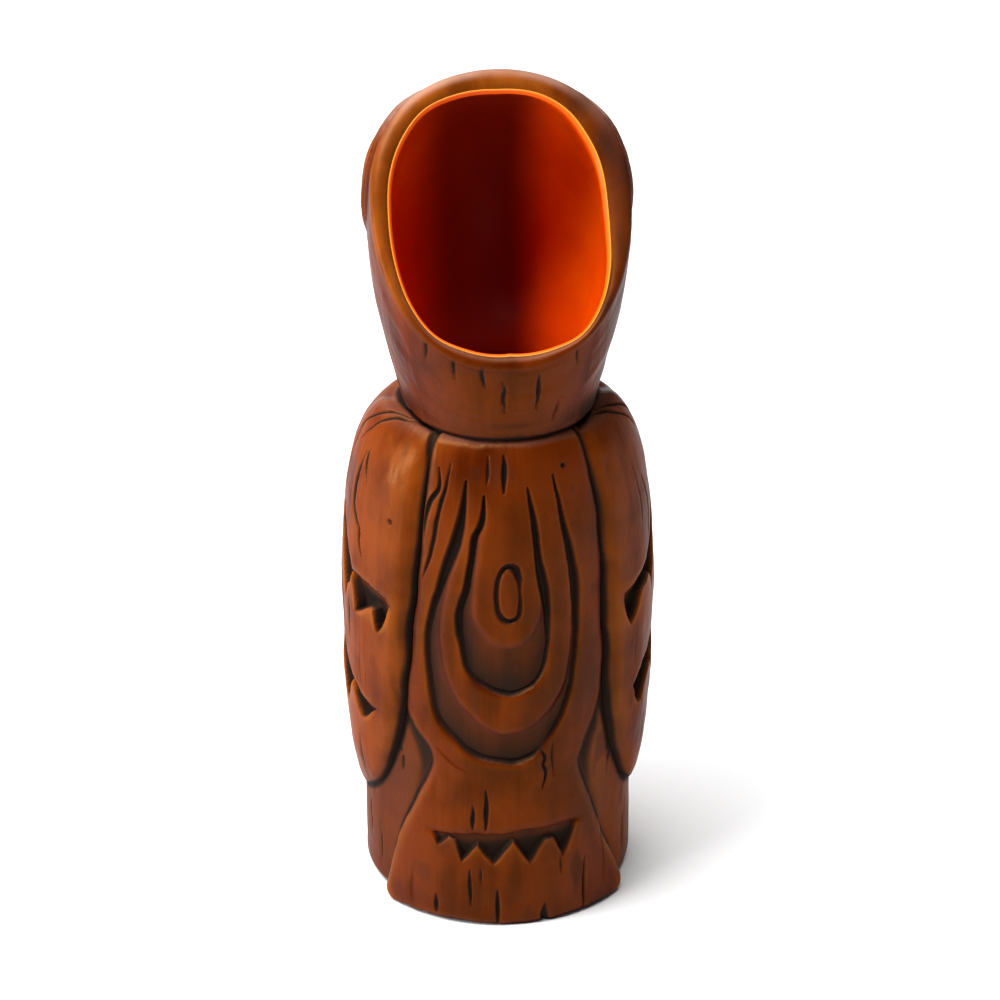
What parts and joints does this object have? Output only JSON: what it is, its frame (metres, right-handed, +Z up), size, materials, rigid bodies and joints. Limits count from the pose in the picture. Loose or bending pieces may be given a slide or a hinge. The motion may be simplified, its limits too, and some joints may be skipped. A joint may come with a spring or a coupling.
{
  "type": "tiki mug",
  "caption": "Tall ceramic drinking mug carved like a wooden bird figure, with folded wings and a hollow head cut open on a slant at the back to drink from.",
  "frame": {"origin": "centre of the trunk's round foot, on the surface the mug stands on", "axes": "+Z up along the trunk's axis, -Y towards the drinking side (the back of the bird, where the head is cut open), +Y towards the bird's beak, +X to the right when the drinking side faces the viewer"},
  "size_m": [0.0784, 0.0932, 0.2106],
  "materials": {
    "brown_glaze": "satin translucent brown glaze with a near-black wash in the carved grooves and worn lighter edges",
    "wing_glaze": "satin translucent orange-brown glaze with a near-black wash in the splintered notches",
    "face_glaze": "satin translucent brown glaze with a near-black wash around the carved eyes and beak",
    "orange_glaze": "high-gloss bright orange lining glaze",
    "bare_clay": "matt unglazed fired clay, bare under the foot"
  },
  "bodies": {
    "root": {"trunk": "brown_glaze", "foot_floor": "bare_clay", "lining_body": "orange_glaze", "head_shell": "brown_glaze", "lining_head": "orange_glaze", "back_slab": "brown_glaze", "tail": "brown_glaze", "wing_left_shoulder": "wing_glaze", "wing_left_middle": "wing_glaze", "wing_left_tip": "wing_glaze", "wing_right_shoulder": "wing_glaze", "wing_right_middle": "wing_glaze", "wing_right_tip": "wing_glaze", "breast": "brown_glaze", "beak_upper": "face_glaze", "beak_lower": "face_glaze", "eye_left": "face_glaze", "eye_right": "face_glaze", "brow_left": "face_glaze", "brow_right": "face_glaze", "foot_left": "face_glaze", "foot_right": "face_glaze"}
  },
  "joints": []
}
